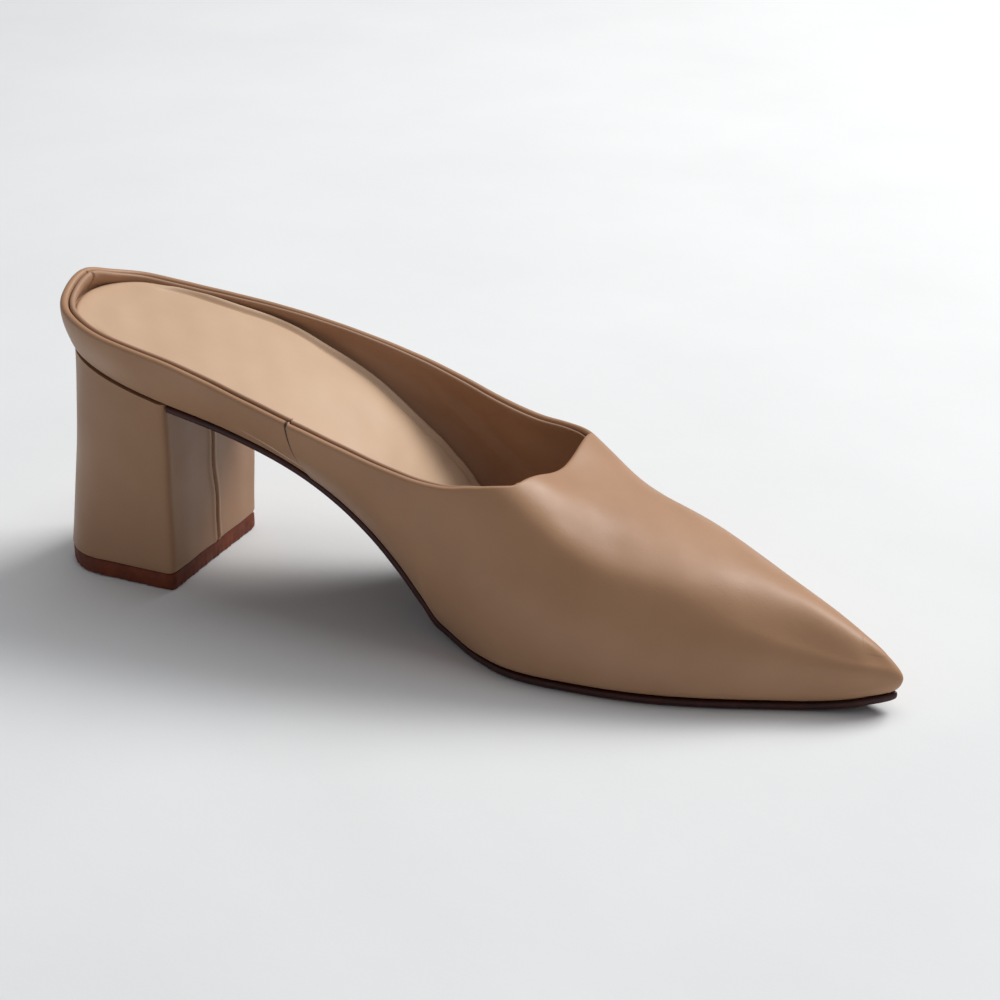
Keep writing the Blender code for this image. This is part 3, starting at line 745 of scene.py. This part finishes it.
def leather_material(name, colour, deep, rough, coat, grain=1.0, seam=False):
    """Smooth finished leather: fine grain, soft blotches and a thin gloss."""
    material, tree, shader = new_material(name)
    blotch = mapped(tree, noise(tree, 38.0, 3.0), 0.35, 0.68)
    tone = mixed(tree, blotch, colour, deep)
    if seam:
        tone = mixed(tree, seam_line(tree), tone, SEAM_DARK)
    tree.links.new(tone, shader.inputs["Base Color"])
    gloss = mapped(tree, noise(tree, 90.0, 5.0), 0.3, 0.7, rough - 0.05, rough + 0.06)
    tree.links.new(gloss, shader.inputs["Roughness"])
    shader.inputs["Specular IOR Level"].default_value = 0.38
    shader.inputs["Coat Weight"].default_value = coat
    shader.inputs["Coat Roughness"].default_value = 0.32
    shader.inputs["Sheen Weight"].default_value = 0.03
    shader.inputs["Subsurface Weight"].default_value = 0.0
    cells = add_node(tree, "ShaderNodeTexVoronoi", Scale=1500.0)
    tree.links.new(position(tree), cells.inputs["Vector"])
    fine = noise(tree, 2600.0, 2.0)
    bumped(tree, shader, (
        (noise(tree, 120.0, 2.0), 0.10 * grain, 0.0012),
        (cells.outputs["Distance"], 0.10 * grain, 0.00012),
        (fine, 0.08 * grain, 0.00008),
    ))
    return material


def sole_material(name, colour, deep, rough):
    material, tree, shader = new_material(name)
    tone = mixed(tree, mapped(tree, noise(tree, 160.0, 6.0, 0.65), 0.35, 0.7), colour, deep)
    tree.links.new(tone, shader.inputs["Base Color"])
    gloss = mapped(tree, noise(tree, 400.0, 4.0), 0.3, 0.7, rough - 0.1, rough + 0.1)
    tree.links.new(gloss, shader.inputs["Roughness"])
    shader.inputs["Specular IOR Level"].default_value = 0.4
    bumped(tree, shader, (
        (noise(tree, 900.0, 5.0, 0.6), 0.25, 0.0002),
        (noise(tree, 150.0, 2.0), 0.2, 0.0005),
    ))
    return material


LEATHER = leather_material(
    "nude_leather", (0.415, 0.228, 0.124), (0.378, 0.202, 0.106), 0.48, 0.07, seam=True
)
LINING = leather_material("lining_leather", (0.400, 0.232, 0.142), (0.360, 0.204, 0.122), 0.55, 0.03, 0.8)
SOCK = leather_material("sock_leather", (0.600, 0.412, 0.272), (0.565, 0.380, 0.246), 0.50, 0.05, 0.7)
SOLE = sole_material("sole_rubber", (0.055, 0.010, 0.006), (0.026, 0.006, 0.004), 0.45)
LIFT = sole_material("lift_rubber", (0.190, 0.034, 0.007), (0.105, 0.018, 0.004), 0.65)


def build_upper():
    """Leather skin with its rolled edge, and the lining inside it."""
    around, low, high = skin_grids()
    side_signs = np.array([side for side, _ in around])[:, None]
    low_normals = -normals_of(low, closed=True)
    high_normals = normals_of(high, closed=False)
    # both point into the shoe here
    middle = low[:, 20].mean(axis=0)
    if np.mean(np.sum(low_normals[:, 20] * (middle - low[:, 20]), axis=-1)) < 0:
        low_normals = -low_normals
    if np.mean(high_normals[:80, :, 2]) > 0:
        high_normals = -high_normals
    fade = smooth_step(np.arange(low.shape[1]), 8, 14)[None, :]
    lift = crease_height(low, CREASES) + unevenness(low, 0.00006)
    lift = lift * fade + seam_height(low, side_signs)
    skin_low = low - low_normals * lift[..., None]
    lift = crease_height(high, CREASES) + unevenness(high, 0.00006)
    skin_high = high - high_normals * lift[..., None]
    last = LAST_TOE_COLUMN
    skin_high[last:] = high[last:]
    # the two grids meet at the shoulder
    turn = len(OPEN_SECTIONS) - 1
    toe_count = len(CLOSED_SECTIONS)
    skin_high[:, 0] = skin_low[turn : turn + toe_count + 1, -1]
    medial = [(-turn - k) % len(around) for k in range(toe_count + 1)]
    skin_high[:, -1] = skin_low[medial, -1]

    def rim(low_grid, high_grid):
        """Closed line round the opening, from the heel back by the lateral side."""
        lateral = low_grid[: turn + 1, -1]
        across = high_grid[0, 1:-1]
        medial_side = low_grid[medial[0] :, -1]
        return np.concatenate([lateral, across, medial_side])

    edge = rim(skin_low, skin_high)
    into = unit(rim(low_normals, high_normals))
    tangent = unit(np.roll(edge, -1, axis=0) - np.roll(edge, 1, axis=0))
    away = unit(np.cross(tangent, into))
    before = np.concatenate([
        skin_low[: turn + 1, -2],
        skin_high[1, 1:-1],
        skin_low[medial[0] :, -2],
    ])
    flip = np.sign(np.sum(away * (edge - before), axis=-1, keepdims=True))
    away = away * flip
    away = unit(away + 0.5 * (np.roll(away, 1, axis=0) + np.roll(away, -1, axis=0)))
    places = [s for s in OPEN_SECTIONS] + [THROAT_EDGE] * (high.shape[1] - 2)
    places += [s for _, s in around[medial[0] :]]
    sizes = np.array([roll_sizes(s) for s in places])
    joint = np.exp(-(((edge[:, 1] - 0.0015) / 0.00035) ** 2)) * (edge[:, 0] < 0.02)
    leather_roll = (sizes[:, 0] * (1 - 0.22 * joint))[:, None]
    lining_roll = (sizes[:, 1] * (1 - 0.30 * joint))[:, None]

    rows = []
    for angle in np.linspace(0, math.pi, 13):
        across = into * leather_roll * (1 - math.cos(angle))
        rows.append(edge + across + away * leather_roll * math.sin(angle))
    rows.append(edge + into * (2 * leather_roll + 0.00012) - away * GROOVE_DEPTH)
    roll_rows = np.stack(rows, axis=1)

    start = 2 * leather_roll + 0.00028
    rows = [edge + into * start - away * GROOVE_DEPTH * 1.1]
    level = leather_roll - lining_roll - 0.00012
    for angle in np.linspace(0, math.pi, 11):
        reach = start + lining_roll * (1 - math.cos(angle))
        rows.append(edge + into * reach + away * (level + lining_roll * math.sin(angle)))
    lining_rim = np.stack(rows, axis=1)
    full = start + 2 * lining_roll

    skin = Surface()
    skin.grid(skin_low, closed=True)
    skin.grid(skin_high)
    skin.grid(roll_rows, closed=True)
    leather = skin.finish("upper_leather", LEATHER, 70.0)

    # lining: the same grids further in, thicker close under its rolled edge
    def lining_grid(points, normals, rim_distance, rim_full):
        thick = LINING_THICKNESS + (rim_full - LINING_THICKNESS) * np.exp(-((rim_distance / 0.0035) ** 2))
        bulge = crease_height(points, LINING_CREASES) + unevenness(points, 0.00008)
        return points + normals * (thick - bulge * smooth_step(rim_distance, 0.001, 0.006))[..., None]

    count = len(around)
    full_around = np.full(count, LINING_THICKNESS)
    full_around[: turn + 1] = full[: turn + 1, 0]
    full_around[medial[0] :] = full[-(count - medial[0]) :, 0]
    below = np.linalg.norm(low - low[:, -1:], axis=-1)
    open_mask = np.zeros(count, bool)
    open_mask[: turn + 1] = True
    open_mask[medial[0] :] = True
    behind = np.abs(np.linalg.norm(low - low[[turn]], axis=-1))
    distance = np.where(open_mask[:, None], below, behind)
    inner_low = lining_grid(low, low_normals, distance, full_around[:, None])
    front = np.linalg.norm(high - high[:1], axis=-1)
    inner_high = lining_grid(high, high_normals, front, np.full(high.shape[:2], float(full[turn + 3, 0])))
    inner_high[:, 0] = inner_low[turn : turn + toe_count + 1, -1]
    inner_high[:, -1] = inner_low[medial, -1]
    rim_inner = rim(inner_low, inner_high)
    join = np.stack([lining_rim[:, -1], 0.5 * (lining_rim[:, -1] + rim_inner), rim_inner], axis=1)
    keep = int(toe_count * 0.72)
    lateral_part = inner_low[: turn + keep, 6:]
    medial_part = inner_low[(-turn - keep) % count :, 6:]
    loop = np.concatenate([medial_part, lateral_part])
    inside = Surface()
    inside.grid(loop, flip=True)
    inside.grid(inner_high[:keep], flip=True)
    inside.grid(lining_rim, closed=True)
    inside.grid(join, closed=True)
    lining = inside.finish("lining", LINING, 70.0)
    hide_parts("upper")
    return around, low, low_normals


def line_on_lining(low, inwards, heights):
    """Plan points where the lining's face is a height above the bed."""
    inner = low + inwards * (LINING_THICKNESS + LINING_SPACE)
    points = []
    for column, height in zip(inner, heights):
        above = np.array([place[2] - bed(place[0], place[1]) for place in column[6:30]])
        rise = np.maximum.accumulate(above)
        points.append([np.interp(height, rise, column[6:30, axis]) for axis in (0, 1)])
    return np.array(points)


def pad_thickness(x):
    share = smooth_step(x, PAD_THINS_FROM * LENGTH, (PAD_THINS_FROM + PAD_THINS_OVER) * LENGTH)
    thickness = INSOLE_HEEL_THICKNESS + (INSOLE_BALL_THICKNESS - INSOLE_HEEL_THICKNESS) * share
    toe_share = np.clip((x - PAD_TOE_FROM * LENGTH) / (PAD_TOE_OVER * LENGTH), 0.0, 1.0)
    return thickness + (INSOLE_TOE_THICKNESS - thickness) * toe_share


def sock_height(x, y):
    return above_bed(x, y, UPPER_WALL + SEAT_GAP + pad_thickness(x))


def build_sock(around, low, inwards):
    """Padded sock: crowned in the middle, rolled down at its edge, with a
    stitched-down strip along each side."""
    feet = low[:, len(MARGIN_VS) - 1, :2]
    heights = [sock_height(x, y) - bed(x, y) for x, y in feet]
    edge = line_on_lining(low, inwards, heights)
    rows = 60
    top = []
    for (side, section), place in zip(around, edge):
        middle = spine_point(section)[:2]
        span = np.linalg.norm(middle - place)
        row = []
        for i in range(rows + 1):
            t = (i / rows) ** 1.6
            x, y = place + (middle - place) * t
            inset = span * t
            z = sock_height(x, y)
            z -= 0.0013 * math.exp(-((inset / 0.0010) ** 2))
            z += SOCK_CROWN * float(smooth_step(inset, 0.002, 0.016)) * float(smooth_step(-x, -0.14, -0.06))
            along = float(smooth_step(section, 2.2, 3.4) * smooth_step(-section, -8.6, -7.4))
            strip = 0.0040 + 0.0005 * math.sin(section * 5.1 + side)
            z -= 0.00085 * along * math.exp(-(((inset - strip) / 0.0009) ** 2))
            z += 0.00070 * along * math.exp(-(((inset - strip + 0.0019) / 0.0011) ** 2))
            row.append([x, y, z])
        top.append(row)
    top = np.array(top)
    waves = unevenness(top, 0.00011)
    waves += 0.00016 * np.sin(top[..., 0] * 210 + top[..., 1] * 60) * smooth_step(top[..., 0], 0.03, 0.07)
    top[..., 2] += waves * smooth_step(np.arange(rows + 1), 12, 28)
    skirt = top[:, :1].repeat(3, axis=1)
    skirt[:, 0, 2] -= SOCK_THICKNESS
    skirt[:, 1, 2] -= 0.0012
    under = top[:, ::-1].copy()
    under[..., 2] -= SOCK_THICKNESS
    sock = Surface()
    sock.grid(np.concatenate([skirt, top[:, 1:]], axis=1), closed=True)
    sock.grid(under[:, :], closed=True)
    obj = sock.finish("insole_sock", SOCK, 80.0)
    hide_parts("insole")
    return obj


def build_outsole():
    """Thin sole with a rounded edge, from the breast of the heel to the toe."""
    breast_x = BREAST_PLACE + GAP
    start = BREAST_SECTION
    for _ in range(30):
        start += (breast_x - foot_point(1, start, SOLE_INSET)[0]) / (SECTION_LENGTH * LENGTH)
    sections = [start, *np.linspace(BREAST_SECTION + 0.12, SECTIONS, 230)]
    thick = SOLE_THICKNESS - SOLE_RELIEF
    across = 8
    sole = Surface()
    for side in (1, -1):
        ring = []
        for index, section in enumerate(sections):
            middle = spine_point(section)
            row = []
            for i in range(across, 0, -1):
                place = foot_point(side, section, SOLE_INSET + SOLE_ROUND)
                place = place + (middle - place) * i / across
                row.append((place, 0.0))
            for inset, share in SOLE_EDGE:
                row.append((foot_point(side, section, SOLE_INSET + inset), share))
            for i in range(1, across + 1):
                place = foot_point(side, section, SOLE_INSET + SOLE_ROUND)
                place = place + (middle - place) * i / across
                row.append((place, 1.0))
            points = []
            for place, share in row:
                x = breast_x if index == 0 else max(place[0], breast_x)
                high = above_bed(x, place[1], -GAP)
                low = max(0.0, above_bed(x, place[1], -GAP - thick))
                points.append([x, place[1], low + (high - low) * share])
            ring.append(points)
        ring = np.array(ring)
        sole.grid(ring, flip=side < 0)
        end = ring[:1]
        half = end.shape[1] // 2
        face = np.stack([end[0, : half + 1], end[0, ::-1][: half + 1]], axis=1)
        sole.grid(face, flip=side < 0)
    obj = sole.finish("sole", SOLE, 50.0)
    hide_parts("outsole")
    return obj


def round_corners(points, radius, steps):
    """Rounds the first and last corner of a heel outline."""
    result = []
    for corner, neighbour in ((points[0], points[1]), (points[-1], points[-2])):
        along_side = (neighbour - corner) / np.linalg.norm(neighbour - corner)
        across = np.array([0.0, -math.copysign(1.0, corner[1])])
        arc = []
        for i in range(steps + 1):
            t = i / steps
            start = corner + across * radius
            end = corner + along_side * radius
            arc.append((1 - t) ** 2 * start + 2 * t * (1 - t) * corner + t * t * end)
        result.append(arc)
    inner = [p for p in points[1:-1] if p[0] < points[0][0] - radius * 1.02]
    return result[0] + inner + result[1][::-1]


def even_spacing(points, count):
    points = np.array(points)
    walk = np.concatenate([[0.0], np.cumsum(np.hypot(*np.diff(points, axis=0).T))])
    places = np.linspace(0, walk[-1], count)
    return [np.array([np.interp(s, walk, points[:, 0]), np.interp(s, walk, points[:, 1])]) for s in places]


def heel_top_outline():
    lines = {}
    for side in (1, -1):
        line = [foot_point(side, s, HEEL_INSET)[:2] + [0.0, HEEL_TOP_SHIFT] for s in np.linspace(0, 3.6, 40)]
        front = foot_point(side, BREAST_SECTION, HEEL_INSET)[:2] + [0.0, HEEL_TOP_SHIFT]
        front[0] = BREAST_PLACE
        lines[side] = line + [front]
    return lines[1][::-1] + lines[-1][1:]


def heel_base_outline():
    back = BREAST_PLACE - HEEL_BASE_LENGTH
    half = HEEL_BASE_WIDTH / 2
    depth = HEEL_BACK_DEPTH * HEEL_BASE_LENGTH
    points = []
    steps = 80
    for i in range(steps + 1):
        t = math.pi * i / steps
        x = back + depth - depth * math.sin(t) ** HEEL_BACK_SQUARENESS
        across = math.copysign(abs(math.cos(t)) ** HEEL_BACK_SQUARENESS, math.cos(t))
        points.append(np.array([x, HEEL_BASE_SHIFT + HEEL_BACK_WIDTH * half * across]))
    front_x = BREAST_PLACE - HEEL_BREAST_SLANT
    front = [np.array([front_x, HEEL_BASE_SHIFT + side * half]) for side in (1, -1)]
    return [front[0]] + points + [front[1]]


def with_breast(outline, count):
    """Closes a heel outline with points across its breast."""
    ring = list(outline)
    last, first = ring[-1], ring[0]
    for i in range(1, count):
        ring.append(last + (first - last) * i / count)
    return np.array(ring)


def build_heel():
    """Block wrapped in leather, with the wrap's seam down its breast."""
    count = 120
    top = even_spacing(heel_top_outline(), count)
    top = with_breast(round_corners(top, CORNER_RADIUS, CORNER_STEPS), 150)
    base = even_spacing(heel_base_outline(), count)
    base = with_breast(round_corners(base, CORNER_RADIUS, CORNER_STEPS), 150)
    base_z = LIFT_THICKNESS + GAP
    levels = 60
    rings = []
    for level in range(levels + 1):
        share = level / levels
        plan = base + (top - base) * (1 - (1 - share) ** HEEL_FLARE)
        high = np.array([above_bed(x, y, -GAP) for x, y in top])
        z = base_z + (high - base_z) * share
        rings.append(np.column_stack([plan, z]))
    grid = np.stack(rings, axis=1)
    centre = np.array([0.021, -0.001])
    outwards = grid[..., :2] - centre
    outwards = outwards / np.linalg.norm(outwards, axis=-1, keepdims=True)
    front = smooth_step(grid[..., 0], 0.036, 0.040)
    line = -0.0005 + 0.0007 * np.sin(grid[..., 2] * 130) + 0.0004 * np.sin(grid[..., 2] * 331 + 1)
    away = grid[..., 1] - line
    seam = -0.00055 * np.exp(-((away / 0.00035) ** 2)) + 0.00035 * np.exp(-(((away - 0.0011) / 0.0008) ** 2))
    seam += 0.00022 * np.exp(-(((away + 0.0015) / 0.0010) ** 2))
    wave = 0.00010 * np.sin(grid[..., 2] * 240 + grid[..., 1] * 90) + 0.00008 * np.sin(grid[..., 1] * 420 + 2)
    grid[..., 0] += (seam + wave) * front
    grid[..., :2] += outwards * ((1 - front) * unevenness(grid, 0.00005))[..., None]
    lower = smooth_step(-(grid[..., 2] - base_z), -0.0008, 0.0)
    grid[..., :2] -= outwards * (0.0004 * lower)[..., None]
    heel = Surface()
    heel.grid(grid, closed=True, flip=False)
    for rows, z_first in ((grid[:, 0], True), (grid[:, -1], False)):
        middle = np.tile(rows.mean(axis=0), (len(rows), 1))
        heel.grid(np.stack([rows, middle], axis=1), closed=True, flip=z_first)
    obj = heel.finish("heel_cover", LEATHER, 60.0)
    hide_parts("heel")
    return obj


def build_lift():
    """Rubber lift with a rough-cut lower edge."""
    base = with_breast(round_corners(even_spacing(heel_base_outline(), 120), CORNER_RADIUS, CORNER_STEPS), 60)
    centre = np.array([0.021, HEEL_BASE_SHIFT])
    outwards = base - centre
    outwards = outwards / np.linalg.norm(outwards, axis=1, keepdims=True)
    turn = np.arange(len(base))
    rough = 0.00012 * np.sin(turn * 1.9) + 0.00010 * np.sin(turn * 0.73 + 1) + 0.00008 * np.sin(turn * 3.7)
    rows = []
    for z, inset, share in LIFT_EDGE:
        plan = base - outwards * (inset + rough * share)[:, None]
        rows.append(np.column_stack([plan, np.full(len(base), z)]))
    grid = np.stack(rows, axis=1)
    lift = Surface()
    lift.grid(grid, closed=True)
    for row, low in ((grid[:, 0], True), (grid[:, -1], False)):
        middle = np.tile(row.mean(axis=0), (len(row), 1))
        lift.grid(np.stack([row, middle], axis=1), closed=True, flip=low)
    obj = lift.finish("lift", LIFT, 45.0)
    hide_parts("top_lift")
    return obj


def build_floor():
    mesh = bpy.data.meshes.new("floor")
    size = 6.0
    corners = [(-size, -size, 0), (size, -size, 0), (size, size, 0), (-size, size, 0)]
    mesh.from_pydata(corners, [], [(0, 1, 2, 3)])
    obj = bpy.data.objects.new("floor", mesh)
    bpy.context.scene.collection.objects.link(obj)
    material, tree, shader = new_material("pale_cloth")
    cloud = mapped(tree, noise(tree, 9.0, 5.0), 0.35, 0.65)
    tone = mixed(tree, cloud, (0.80, 0.815, 0.82), (0.77, 0.785, 0.79))
    tree.links.new(tone, shader.inputs["Base Color"])
    shader.inputs["Roughness"].default_value = 0.9
    shader.inputs["Specular IOR Level"].default_value = 0.2
    bumped(tree, shader, ((noise(tree, 22.0, 3.0), 0.10, 0.004), (noise(tree, 700.0, 3.0), 0.08, 0.0003)))
    mesh.materials.append(material)


def add_area(name, place, aim, size, power, colour):
    light = bpy.data.lights.new(name, "AREA")
    light.shape = "RECTANGLE"
    light.size, light.size_y = size
    light.energy = power
    light.color = colour
    obj = bpy.data.objects.new(name, light)
    bpy.context.scene.collection.objects.link(obj)
    obj.location = place
    obj.rotation_mode = "QUATERNION"
    obj.rotation_quaternion = (Vector(aim) - Vector(place)).to_track_quat("-Z", "Y")


def build_lights():
    world = bpy.data.worlds.new("studio")
    world.use_nodes = True
    background = world.node_tree.nodes["Background"]
    background.inputs["Color"].default_value = (0.96, 0.96, 1.0, 1.0)
    background.inputs["Strength"].default_value = 0.24
    bpy.context.scene.world = world
    for row in LIGHTS:
        add_area(*row)


def build_camera():
    """The photograph's place for the camera, turned to this one shoe."""
    data = bpy.data.cameras.new("camera")
    data.sensor_width = 36.0
    data.lens = CAMERA_LENS
    obj = bpy.data.objects.new("camera", data)
    bpy.context.scene.collection.objects.link(obj)
    place = Vector(CAMERA_PLACE) + Vector(SHIFT)
    aim = Vector(CAMERA_AIM)
    turn = (aim - place).to_track_quat("-Z", "Y").to_matrix().to_4x4()
    roll = Matrix.Rotation(math.radians(CAMERA_ROLL), 4, "Z")
    obj.matrix_world = Matrix.Translation(place) @ turn @ roll
    data.clip_start = 0.05
    data.clip_end = 50.0
    bpy.context.scene.camera = obj


around, low, inwards = build_upper()
build_sock(around, low, inwards)
build_outsole()
build_heel()
build_lift()
build_floor()
build_lights()
build_camera()

bpy.context.scene.view_settings.view_transform = "Standard"
